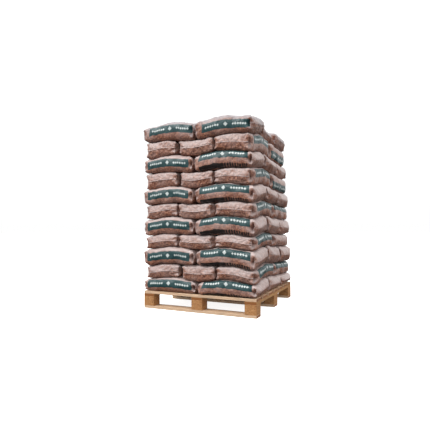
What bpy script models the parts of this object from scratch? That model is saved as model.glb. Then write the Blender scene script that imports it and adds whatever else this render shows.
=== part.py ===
"""A wooden block pallet carrying eleven crossed layers of filled film sacks.

The origin is under the middle of the pallet, X runs along its front, Y to the back and Z up.
Each layer of six sacks is one solid, with the gaps between the sacks cut into its faces.
"""

import itertools

import bmesh
import bpy

# Pallet, in metres.
PALLET_SIDE = 1.000
RUNNER_THICKNESS = 0.022
BLOCK_HEIGHT = 0.078
STRINGER_THICKNESS = 0.022
DECK_THICKNESS = 0.022
BLOCK_WIDTH = 0.095
DECK_BOARD_WIDTH = 0.100
DECK_BOARD_COUNT = 7
BOARD_CHAMFER = 0.0015

# Space left between two touching pieces.
CLEARANCE = 0.0003

# Gaps between the sacks of a layer, as fractions of the load's width and depth.
LENGTHWISE_GAPS_X = (0.485,)
LENGTHWISE_GAPS_Y = (0.333, 0.667)
CROSSWISE_GAPS_X = (0.327, 0.653)
CROSSWISE_GAPS_Y = (0.500,)
SACK_MIDDLES_X = (0.163, 0.826)
SACK_MIDDLES_Y = (0.167, 0.833)
HALF_SACK_LENGTH = 0.25
GAP_HALF_WIDTH = 0.014
GAP_DEPTH = 0.034
CORNER_RUN = 0.022

# How far in from a layer's faces lie its edges against the next layer, its gaps and its upright corners.
EDGE_SET_IN = 0.034
GAP_SET_IN = 0.050
CORNER_SET_IN = 0.005

# Heights on a layer's sides, as fractions of its own height, and how far in from its faces they lie.
SIDE_PROFILE = ((0.10, 0.010), (0.28, 0.0), (0.72, 0.0), (0.90, 0.010))

# How far the two kinds of layer reach past the pallet, and how far the top's right and back are drawn in.
LENGTHWISE_OVERHANG = 0.012
CROSSWISE_OVERHANG = 0.002
TOP_DRAWN_IN = 0.040

# The top layer's middle sack on the right lies further in and lower than the others.
SUNKEN_SACK_SET_IN = 0.026
SUNKEN_SACK_DEPTH = 0.024

# Highest point of each layer's front edge, in metres above the floor.
LAYER_TOPS = (0.270, 0.377, 0.522, 0.623, 0.769, 0.877, 1.021, 1.138, 1.282, 1.402, 1.560)

# How far a layer's top falls along its front, at the load's corners and halfway along it.
LENGTHWISE_CORNER_FALL = 0.028
LENGTHWISE_MIDDLE_FALL = 0.028
LOWEST_CROSSWISE_CORNER_FALL = 0.030
HIGHEST_CROSSWISE_MIDDLE_FALL = 0.024

# Rise of every layer's top from front to back on the right side, and the share of it left on the left.
SIDE_RISE = ((0.0, 0.000), (0.30, 0.034), (0.55, 0.012), (1.0, -0.004))
LEFT_SHARE = 0.45

BOARD_COLOUR = (0.62, 0.42, 0.24, 1.0)
BLOCK_COLOUR = (0.45, 0.26, 0.12, 1.0)
WOOD_ROUGHNESS = 0.8
FILM_COLOUR = (0.40, 0.25, 0.21, 1.0)
FILM_ROUGHNESS = 0.35

# A box's six sides, as places in the list of its corners.
BOX_SIDES = (
    (0, 1, 3, 2),
    (4, 6, 7, 5),
    (0, 4, 5, 1),
    (2, 3, 7, 6),
    (0, 2, 6, 4),
    (1, 5, 7, 3),
)


def make_material(name, colour, roughness):
    """Returns a Principled material of one colour."""
    material = bpy.data.materials.new(name)
    material.use_nodes = True
    shader = material.node_tree.nodes["Principled BSDF"]
    shader.inputs["Base Color"].default_value = colour
    shader.inputs["Roughness"].default_value = roughness
    return material


def add_object(name, mesh, colour, roughness):
    """Links the mesh into the scene as one named node with its own material."""
    mesh.materials.append(make_material(name + "_material", colour, roughness))
    obj = bpy.data.objects.new(name, mesh)
    bpy.context.scene.collection.objects.link(obj)
    return obj


def add_board(name, low, high, colour):
    """Adds a box between two opposite corners, with its edges taken off."""
    mesh = bpy.data.meshes.new(name)
    shape = bmesh.new()
    corners = [
        shape.verts.new(corner) for corner in itertools.product(*zip(low, high, strict=True))
    ]
    for side in BOX_SIDES:
        shape.faces.new([corners[index] for index in side])
    bmesh.ops.bevel(
        shape,
        geom=list(shape.edges),
        offset=BOARD_CHAMFER,
        offset_type="OFFSET",
        segments=1,
        affect="EDGES",
    )
    bmesh.ops.recalc_face_normals(shape, faces=shape.faces)
    shape.to_mesh(mesh)
    shape.free()
    return add_object(name, mesh, colour, WOOD_ROUGHNESS)


def build_pallet():
    """Builds the runners, blocks, stringers and deck boards, and returns the deck's height."""
    half = PALLET_SIDE / 2
    row_centre = half - BLOCK_WIDTH / 2
    rows = {"front": -row_centre, "middle": 0.0, "back": row_centre}
    columns = {"left": -row_centre, "middle": 0.0, "right": row_centre}
    reach = BLOCK_WIDTH / 2

    block_base = RUNNER_THICKNESS
    stringer_base = block_base + BLOCK_HEIGHT
    deck_base = stringer_base + STRINGER_THICKNESS
    deck_top = deck_base + DECK_THICKNESS

    for row, y in rows.items():
        add_board(
            f"runner_{row}",
            (-half, y - reach, 0.0),
            (half, y + reach, block_base - CLEARANCE),
            BOARD_COLOUR,
        )
        for column, x in columns.items():
            add_board(
                f"block_{row}_{column}",
                (x - reach, y - reach, block_base),
                (x + reach, y + reach, stringer_base - CLEARANCE),
                BLOCK_COLOUR,
            )
    for column, x in columns.items():
        add_board(
            f"stringer_{column}",
            (x - reach, -half, stringer_base),
            (x + reach, half, deck_base - CLEARANCE),
            BOARD_COLOUR,
        )
    pitch = (PALLET_SIDE - DECK_BOARD_WIDTH) / (DECK_BOARD_COUNT - 1)
    for index in range(DECK_BOARD_COUNT):
        front = -half + index * pitch
        add_board(
            f"deck_board_{index + 1}",
            (-half, front, deck_base),
            (half, front + DECK_BOARD_WIDTH, deck_top - CLEARANCE),
            BOARD_COLOUR,
        )
    return deck_top


def grid_lines(gaps, middles):
    """Returns the grid's lines along one axis: edges, corners, sack middles, and each gap with its sides."""
    beside = [gap + side for gap in gaps for side in (-GAP_HALF_WIDTH, 0.0, GAP_HALF_WIDTH)]
    return sorted([0.0, CORNER_RUN, 1.0 - CORNER_RUN, 1.0, *middles, *beside])


def along(points, position):
    """Returns the value at a position on the straight lines between (position, value) points."""
    for (start, low), (end, high) in itertools.pairwise(points):
        if position <= end:
            return low + (high - low) * (position - start) / (end - start)
    return points[-1][1]


def is_lengthwise(index):
    """Tells whether a layer's sacks lie with their long sides to the front, as in the bottom layer."""
    return index % 2 == 0


def layer_faces(index):
    """Returns the left, right, front and back faces of one layer."""
    reach = PALLET_SIDE / 2 + (LENGTHWISE_OVERHANG if is_lengthwise(index) else CROSSWISE_OVERHANG)
    drawn_in = TOP_DRAWN_IN * (index / (len(LAYER_TOPS) - 1)) ** 2
    return -reach, reach - drawn_in, -reach, reach - drawn_in


def contact_faces(lower, upper):
    """Returns the edge between two layers, set in from the faces of both."""
    inward = (EDGE_SET_IN, -EDGE_SET_IN, EDGE_SET_IN, -EDGE_SET_IN)
    pairs = zip(layer_faces(lower), layer_faces(upper), inward, strict=True)
    return [(low + high) / 2 + step for low, high, step in pairs]


def front_fall(index):
    """Returns the points of one layer's fall along its front, below its highest point."""
    if is_lengthwise(index):
        corner, middle = LENGTHWISE_CORNER_FALL, LENGTHWISE_MIDDLE_FALL
        left, right = (LENGTHWISE_GAPS_X[0] + side for side in (-HALF_SACK_LENGTH, HALF_SACK_LENGTH))
        halfway = LENGTHWISE_GAPS_X[0]
    else:
        rise = index / (len(LAYER_TOPS) - 1)
        corner = LOWEST_CROSSWISE_CORNER_FALL * (1 - rise)
        middle = HIGHEST_CROSSWISE_MIDDLE_FALL * rise
        left, right = SACK_MIDDLES_X
        halfway = sum(CROSSWISE_GAPS_X) / 2
    return (0.0, -corner), (left, 0.0), (halfway, -middle), (right, 0.0), (1.0, -corner)


class Contact:
    """The surface where two layers meet, as a height over each point of one shared grid."""

    def __init__(self, faces, height):
        self.left, self.right, self.front, self.back = faces
        self.height = height

    def point(self, u, v):
        """Returns the surface's point at two fractions of its width and depth."""
        x = self.left + (self.right - self.left) * u
        y = self.front + (self.back - self.front) * v
        return x, y, self.height(u, v)


def top_contact(index):
    """Returns the surface over one layer."""
    fall = front_fall(index)

    def height(u, v):
        share = LEFT_SHARE + (1 - LEFT_SHARE) * u
        return LAYER_TOPS[index] + along(fall, u) + share * along(SIDE_RISE, v)

    return Contact(contact_faces(index, min(index + 1, len(LAYER_TOPS) - 1)), height)


class Layer:
    """One layer of six sacks between the contact surfaces under and over it."""

    def __init__(self, index, under, over):
        if is_lengthwise(index):
            self.gaps_x, self.gaps_y = LENGTHWISE_GAPS_X, LENGTHWISE_GAPS_Y
        else:
            self.gaps_x, self.gaps_y = CROSSWISE_GAPS_X, CROSSWISE_GAPS_Y
        self.left, self.right, self.front, self.back = layer_faces(index)
        self.is_top = index == len(LAYER_TOPS) - 1
        self.under = under
        self.over = over
        self.lines_x = grid_lines(LENGTHWISE_GAPS_X + CROSSWISE_GAPS_X, SACK_MIDDLES_X)
        self.lines_y = grid_lines(LENGTHWISE_GAPS_Y + CROSSWISE_GAPS_Y, SACK_MIDDLES_Y)

    def in_gap(self, u, v):
        """Tells whether a grid point lies at the bottom of one of this layer's own gaps."""
        return u in self.gaps_x or v in self.gaps_y

    def in_sunken_sack(self, u, v):
        """Tells whether a grid point lies on the top layer's sunken sack."""
        return self.is_top and u > self.gaps_x[0] and self.gaps_y[0] < v < self.gaps_y[1]

    def bottom_point(self, u, v):
        """Returns a point of the bottom face, cut upwards where a gap runs."""
        x, y, z = self.under.point(u, v)
        return x, y, z + CLEARANCE / 2 + (GAP_DEPTH if self.in_gap(u, v) else 0.0)

    def top_point(self, u, v):
        """Returns a point of the top face, cut downwards where a gap runs or the sack is sunken."""
        x, y, z = self.over.point(u, v)
        if self.in_sunken_sack(u, v):
            z -= SUNKEN_SACK_DEPTH
            x -= SUNKEN_SACK_SET_IN if u > SACK_MIDDLES_X[1] else 0.0
        return x, y, z - CLEARANCE / 2 - (GAP_DEPTH if self.in_gap(u, v) else 0.0)

    def side_point(self, u, v, level, set_in):
        """Returns a point of the side, set in from the layer's faces."""
        pairs = zip(self.bottom_point(u, v), self.top_point(u, v), strict=True)
        x, y, z = (low + (high - low) * level for low, high in pairs)
        if self.in_gap(u, v):
            set_in = GAP_SET_IN
        elif u in (0.0, 1.0) and v in (0.0, 1.0):
            set_in += CORNER_SET_IN
        if self.in_sunken_sack(u, v):
            set_in += SUNKEN_SACK_SET_IN
        x = {0.0: self.left + set_in, 1.0: self.right - set_in}.get(u, x)
        y = {0.0: self.front + set_in, 1.0: self.back - set_in}.get(v, y)
        return x, y, z

    def outline(self):
        """Returns the grid points round the layer's edge, anticlockwise from above."""
        front = [(u, 0.0) for u in self.lines_x[:-1]]
        right = [(1.0, v) for v in self.lines_y[:-1]]
        back = [(u, 1.0) for u in self.lines_x[:0:-1]]
        left = [(0.0, v) for v in self.lines_y[:0:-1]]
        return front + right + back + left

    def build_mesh(self, name):
        """Returns the layer as one closed mesh of triangles."""
        shape = bmesh.new()
        grid = list(itertools.product(self.lines_x, self.lines_y))
        bottom = {at: shape.verts.new(self.bottom_point(*at)) for at in grid}
        top = {at: shape.verts.new(self.top_point(*at)) for at in grid}
        edge = self.outline()
        rings = [[bottom[at] for at in edge]]
        rings += [[shape.verts.new(self.side_point(*at, *part)) for at in edge] for part in SIDE_PROFILE]
        rings.append([top[at] for at in edge])

        for u1, u2 in itertools.pairwise(self.lines_x):
            for v1, v2 in itertools.pairwise(self.lines_y):
                near, right, far, left = (u1, v1), (u2, v1), (u2, v2), (u1, v2)
                for a, b, c in ((near, right, far), (near, far, left)):
                    shape.faces.new((top[a], top[b], top[c]))
                    shape.faces.new((bottom[c], bottom[b], bottom[a]))
        for low, high in itertools.pairwise(rings):
            for index in range(len(edge)):
                after = (index + 1) % len(edge)
                shape.faces.new((low[index], low[after], high[after]))
                shape.faces.new((low[index], high[after], high[index]))

        mesh = bpy.data.meshes.new(name)
        shape.to_mesh(mesh)
        shape.free()
        return mesh


def build_load(deck_top):
    """Builds the sack layers, each one crossing the one below it."""
    under = Contact(contact_faces(0, 0), lambda u, v: deck_top)
    for index in range(len(LAYER_TOPS)):
        over = top_contact(index)
        name = f"sack_layer_{index + 1:02d}"
        mesh = Layer(index, under, over).build_mesh(name)
        add_object(name, mesh, FILM_COLOUR, FILM_ROUGHNESS)
        under = over


def main():
    """Clears the scene and builds the loaded pallet."""
    for obj in list(bpy.data.objects):
        bpy.data.objects.remove(obj)
    build_load(build_pallet())


main()
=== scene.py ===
"""Dresses a wooden block pallet that carries eleven crossed layers of film sacks of wood pellets.

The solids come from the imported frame, in metres: X runs along the pallet's front, Y to its back and Z up.
The pallet's boards and blocks keep their solids and get finishes. Each layer of sacks is replaced by six
sacks, pressed out in cloth from their flat film tube.
"""

from __future__ import annotations

import sys

import itertools
import logging
import math
from collections.abc import Sequence
from dataclasses import dataclass, field, replace
from enum import Enum

import bpy
import numpy as np
from bpy.types import Collection, Material, Mesh, NodeSocket, NodeTree, Object
from mathutils import Matrix, Vector


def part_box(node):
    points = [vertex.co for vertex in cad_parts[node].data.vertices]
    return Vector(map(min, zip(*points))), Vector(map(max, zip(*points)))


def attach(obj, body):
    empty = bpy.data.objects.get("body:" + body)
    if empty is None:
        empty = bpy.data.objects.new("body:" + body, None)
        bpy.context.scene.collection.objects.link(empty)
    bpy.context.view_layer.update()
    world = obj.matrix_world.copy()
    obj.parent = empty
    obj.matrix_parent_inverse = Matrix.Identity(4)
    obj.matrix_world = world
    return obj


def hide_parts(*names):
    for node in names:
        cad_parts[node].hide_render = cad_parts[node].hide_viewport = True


LOG = logging.getLogger("pallet_of_sacks")
BODY = "root"

# Places of the colour sockets on Blender's Mix node, which share their names with its other sockets.
FACTOR, UNDER, OVER, MIXED = 0, 6, 7, 2

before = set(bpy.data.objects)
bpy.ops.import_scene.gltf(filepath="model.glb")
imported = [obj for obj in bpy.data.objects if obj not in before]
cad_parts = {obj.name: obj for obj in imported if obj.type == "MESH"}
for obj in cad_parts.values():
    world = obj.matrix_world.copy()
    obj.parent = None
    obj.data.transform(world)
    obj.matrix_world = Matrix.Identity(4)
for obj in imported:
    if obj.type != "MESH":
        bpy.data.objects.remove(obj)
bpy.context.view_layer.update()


# Small tools


def linear(colour: str) -> tuple[float, ...]:
    """Turns an sRGB hex colour to linear.

    Args:
        colour: Six hex digits after a hash.

    Returns:
        Red, green, blue and an alpha of one.
    """
    values = [int(colour[start : start + 2], 16) / 255 for start in (1, 3, 5)]
    return (*(v / 12.92 if v <= 0.04045 else ((v + 0.055) / 1.055) ** 2.4 for v in values), 1.0)


def configure(thing: object, **settings: object) -> None:
    """Sets several properties of one thing."""
    for name, value in settings.items():
        setattr(thing, name, value)


def add_node(
    tree: NodeTree, kind: str, inputs: dict | None = None, out: int | str = 0, **settings: object
) -> NodeSocket | None:
    """Adds one node to a tree, with its settings, values and links.

    Args:
        tree: The node tree of a material, a world or a geometry.
        kind: The node's type, as Blender names it. A plain name is that of a shader node.
        inputs: For each input, by name or number, a value, a hex colour or the output that feeds it.
        out: The output that is wanted of it, by name or number.
        settings: The node's own properties.

    Returns:
        The output, or None for a node that ends its tree.
    """
    node = tree.nodes.new(kind if "Node" in kind else f"ShaderNode{kind}")
    configure(node, **settings)
    for name, value in (inputs or {}).items():
        if isinstance(value, NodeSocket):
            tree.links.new(value, node.inputs[name])
        else:
            node.inputs[name].default_value = linear(value) if isinstance(value, str) else value
    return node.outputs[out] if node.outputs else None


def new_material(name: str) -> tuple[Material, NodeTree]:
    """Makes an empty node material.

    Args:
        name: The material's name.

    Returns:
        The material and its tree.
    """
    material = bpy.data.materials.new(name)
    material.use_nodes = True
    material.node_tree.nodes.clear()
    return material, material.node_tree


def coated(material: Material, look: dict) -> Material:
    """Ends a material's tree in its shader.

    Args:
        material: The material.
        look: The shader's inputs.

    Returns:
        The same material.
    """
    shader = add_node(material.node_tree, "BsdfPrincipled", look)
    add_node(material.node_tree, "OutputMaterial", {"Surface": shader})
    return material


def add_object(name: str, data: bpy.types.ID, home: Collection | None = None) -> Object:
    """Links a new object into the scene.

    Args:
        name: Its name.
        data: Its mesh, lamp or camera.
        home: Its collection, if it isn't the scene's own.

    Returns:
        The object.
    """
    made = bpy.data.objects.new(name, data)
    (home or bpy.context.scene.collection).objects.link(made)
    return made


def new_mesh(name: str, points: Sequence, faces: Sequence) -> Mesh:
    """Makes a mesh of points and faces.

    Args:
        name: Its name.
        points: The places of its points.
        faces: For each face, the numbers of its points.

    Returns:
        The mesh.
    """
    mesh = bpy.data.meshes.new(name)
    mesh.from_pydata(points, [], faces)
    return mesh


def add_piece(name: str, mesh: Mesh, material: Material) -> Object:
    """Links a mesh into the scene as one piece of one material.

    Args:
        name: The piece's name.
        mesh: Its mesh, in the frame's own place.
        material: Its finish.

    Returns:
        The new object.
    """
    mesh.name = name
    mesh.materials.clear()
    mesh.materials.append(material)
    return add_object(name, mesh)


def eased(points: tuple[tuple[float, float], ...], position: np.ndarray) -> np.ndarray:
    """Reads a smooth curve through points, level at each of them.

    Args:
        points: Pairs of position and value, in order.
        position: Where to read the curve.

    Returns:
        The curve's value at each position.
    """
    value = np.full_like(position, points[0][1])
    for (start, low), (end, high) in itertools.pairwise(points):
        share = np.clip((position - start) / (end - start), 0.0, 1.0)
        value += (high - low) * share * share * (3 - 2 * share)
    return value


def ripple(points: np.ndarray, seed: int, wavelength: float, count: int = 6) -> np.ndarray:
    """Sums a few sine waves of mixed directions into smooth noise.

    Args:
        points: Places in metres, along the last axis.
        seed: Picks the directions and phases.
        wavelength: Length of the waves in metres.
        count: Number of waves.

    Returns:
        A value of about -1 to 1 for each point.
    """
    random = np.random.default_rng(seed)
    total = np.zeros(points.shape[:-1])
    for _ in range(count):
        direction = random.normal(size=points.shape[-1])
        direction *= random.uniform(0.6, 1.5) * 2 * math.pi / (wavelength * np.linalg.norm(direction))
        total += np.sin(points @ direction + random.uniform(0, 2 * math.pi))
    return total / math.sqrt(count)


# Finishes


class Grain(Enum):
    """The way a board's grain runs, as the turn that lays it along X."""

    ALONG_X = 0.0
    ALONG_Y = math.pi / 2


@dataclass(frozen=True)
class SawnPine:
    """Sawn pine: pale cream wood with darker growth rings, a few knots and rough saw marks."""

    light: str = "#e4c9ad"
    dark: str = "#c09671"
    knot: str = "#6e4729"
    grey: str = "#a8957f"
    end_grain: str = "#8a5226"
    ring_spacing: float = 0.007
    saw_mark_spacing: float = 0.006
    knot_spacing: float = 0.26
    knot_radius: float = 0.011
    roughness: float = 0.7

    @staticmethod
    def wave_scale(spacing: float) -> float:
        """Turns the distance between two waves, in metres, to the scale of Blender's wave pattern."""
        return 2 * math.pi / (20 * spacing)

    def make(self, name: str, grain: Grain, seed: int) -> Material:
        """Makes the material of one board.

        Args:
            name: The material's name.
            grain: The way that its grain runs.
            seed: Cuts the board from another part of the log.

        Returns:
            The material.
        """
        material, tree = new_material(name)
        shift = tuple(np.random.default_rng(seed).uniform(-1.0, 1.0, 3))
        place = add_node(tree, "TexCoord", out="Object")
        turned = {"Vector": place, "Rotation": (0.0, 0.0, grain.value), "Location": shift}
        board = add_node(tree, "Mapping", turned)

        # The log is never straight, so slow noise along the board bends its rings into long arches.
        slow = add_node(tree, "Mapping", {"Vector": board, "Scale": (2.5, 9.0, 9.0)})
        wander = add_node(tree, "TexNoise", {"Vector": slow, "Scale": 1.0, "Detail": 2.0}, "Color")
        log = add_node(tree, "VectorMath", {0: wander, 1: (0.05,) * 3, 2: board}, operation="MULTIPLY_ADD")
        waves = {"Vector": log, "Scale": self.wave_scale(self.ring_spacing), "Distortion": 1.0, "Detail": 2.0}
        rings = add_node(tree, "TexWave", waves, "Fac", wave_type="RINGS", wave_profile="SAW")
        fine = add_node(tree, "Mapping", {"Vector": board, "Scale": (14.0, 380.0, 380.0)})
        fibre = add_node(tree, "TexNoise", {"Vector": fine, "Scale": 1.0, "Detail": 3.0})
        streak = add_node(tree, "Math", {0: rings, 1: 0.55, 2: fibre}, operation="MULTIPLY_ADD")
        tone = add_node(tree, "MapRange", {"Value": streak, "From Min": 0.4, "From Max": 1.15})

        # A knot is a branch cut across: a small dark eye in a few places along the board.
        spread = add_node(tree, "Mapping", {"Vector": board, "Scale": (1.0, 1.6, 1.6)})
        eye = add_node(tree, "TexVoronoi", {"Vector": spread, "Scale": 1 / self.knot_spacing})
        reach = self.knot_radius / self.knot_spacing
        limits = {"Value": eye, "From Min": reach * 1.6, "From Max": reach * 0.8, "To Max": 0.9}
        in_knot = add_node(tree, "MapRange", limits, interpolation_type="SMOOTHSTEP")

        # Yard dirt and weather grey the wood in soft patches.
        patch = add_node(tree, "TexNoise", {"Vector": board, "Scale": 9.0, "Detail": 5.0, "Roughness": 0.6})
        limits = {"Value": patch, "From Min": 0.5, "From Max": 0.8, "To Max": 0.55}
        greyed = add_node(tree, "MapRange", limits)

        # Cut ends drink up dirt and water, and show darker and more orange than the faces.
        facing = add_node(tree, "NewGeometry", out="Normal")
        end_way = add_node(tree, "SeparateXYZ", {"Vector": facing}, "X" if grain is Grain.ALONG_X else "Y")
        squared = add_node(tree, "Math", {0: end_way, 1: end_way}, operation="MULTIPLY")
        limits = {"Value": squared, "From Min": 0.4, "From Max": 0.9, "To Max": 0.9}
        at_end = add_node(tree, "MapRange", limits)

        wood = self.light
        layers = ((tone, self.dark), (in_knot, self.knot), (greyed, self.grey), (at_end, self.end_grain))
        for share, colour in layers:
            wood = add_node(tree, "Mix", {FACTOR: share, UNDER: wood, OVER: colour}, MIXED, data_type="RGBA")

        across = {"Vector": board, "Scale": self.wave_scale(self.saw_mark_spacing), "Distortion": 2.5}
        saw = add_node(tree, "TexWave", across, "Fac", wave_type="BANDS")
        rough = add_node(tree, "Math", {0: saw, 1: 0.5, 2: fibre}, operation="MULTIPLY_ADD")
        bump = add_node(tree, "Bump", {"Height": rough, "Strength": 0.5, "Distance": 0.0006})
        look = {"Base Color": wood, "Roughness": self.roughness, "IOR": 1.45, "Normal": bump}
        return coated(material, look)


@dataclass(frozen=True)
class PressedChipBlock:
    """Pallet block pressed from wood chips and glue: orange brown, speckled with light and dark flakes."""

    light: str = "#cf9f6a"
    middle: str = "#b07c4c"
    dark: str = "#7d5230"
    chip_size: float = 0.009
    roughness: float = 0.68

    def make(self, name: str, seed: int) -> Material:
        """Makes the material of one block.

        Args:
            name: The material's name.
            seed: Cuts the block from another part of the pressed bar.

        Returns:
            The material.
        """
        material, tree = new_material(name)
        shift = tuple(np.random.default_rng(seed).uniform(-1.0, 1.0, 3))
        place = add_node(tree, "TexCoord", out="Object")
        bar = add_node(tree, "Mapping", {"Vector": place, "Location": shift, "Scale": (1.0, 1.0, 2.2)})
        chips = add_node(tree, "TexVoronoi", {"Vector": bar, "Scale": 1 / self.chip_size})
        pick = add_node(tree, "SeparateColor", {"Color": chips.node.outputs["Color"]}, "Red")
        colour = add_node(tree, "ValToRGB", {"Fac": pick}, "Color")
        stops = colour.node.color_ramp.elements
        stops[0].color, stops[1].color = linear(self.dark), linear(self.light)
        for at in (0.3, 0.75):
            stops.new(at).color = linear(self.middle)
        patch = add_node(tree, "TexNoise", {"Vector": bar, "Scale": 22.0, "Detail": 4.0, "Roughness": 0.65})
        shade = add_node(tree, "MapRange", {"Value": patch, "From Min": 0.35, "From Max": 0.7, "To Max": 0.6})
        layer = {FACTOR: shade, UNDER: colour, OVER: self.middle}
        wood = add_node(tree, "Mix", layer, MIXED, data_type="RGBA")
        pit = add_node(tree, "Math", {0: chips, 1: -1.0, 2: pick}, operation="MULTIPLY_ADD")
        bump = add_node(tree, "Bump", {"Height": pit, "Strength": 0.5, "Distance": 0.0008})
        look = {"Base Color": wood, "Roughness": self.roughness, "IOR": 1.47, "Normal": bump}
        return coated(material, look)


@dataclass(frozen=True)
class BrightSteel:
    """Nail heads of drawn steel wire: dull grey metal, flattened by the hammer, with brownish spots."""

    colour: str = "#8d8a85"
    spot: str = "#5f534a"
    spots_per_metre: float = 400.0
    roughness: float = 0.45

    def make(self, name: str) -> Material:
        """Makes the nails' material.

        Args:
            name: The material's name.

        Returns:
            The material.
        """
        material, tree = new_material(name)
        place = add_node(tree, "TexCoord", out="Object")
        spots = add_node(tree, "TexNoise", {"Vector": place, "Scale": self.spots_per_metre})
        layer = {FACTOR: spots, UNDER: self.colour, OVER: self.spot}
        steel = add_node(tree, "Mix", layer, MIXED, data_type="RGBA")
        return coated(material, {"Base Color": steel, "Metallic": 1.0, "Roughness": self.roughness})


@dataclass(frozen=True)
class PrintedBands:
    """The two printed bands round each sack's long side, in metres on the flat film."""

    half_length: float = 0.215
    green_half_height: float = 0.0345
    black_below: float = 0.103
    black_half_height: float = 0.026
    has_black: bool = True
    edge: float = 0.0015
    middle_mark: float = 0.018
    row_from: float = 0.055
    row_to: float = 0.187
    mark_pitch: float = 0.022
    mark_radius: float = 0.0105
    bars_from: float = 0.01
    bar_pitch: float = 0.021
    bar_share: float = 0.68
    ink_between_bars: float = 0.2
    cover: float = 0.97


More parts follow.
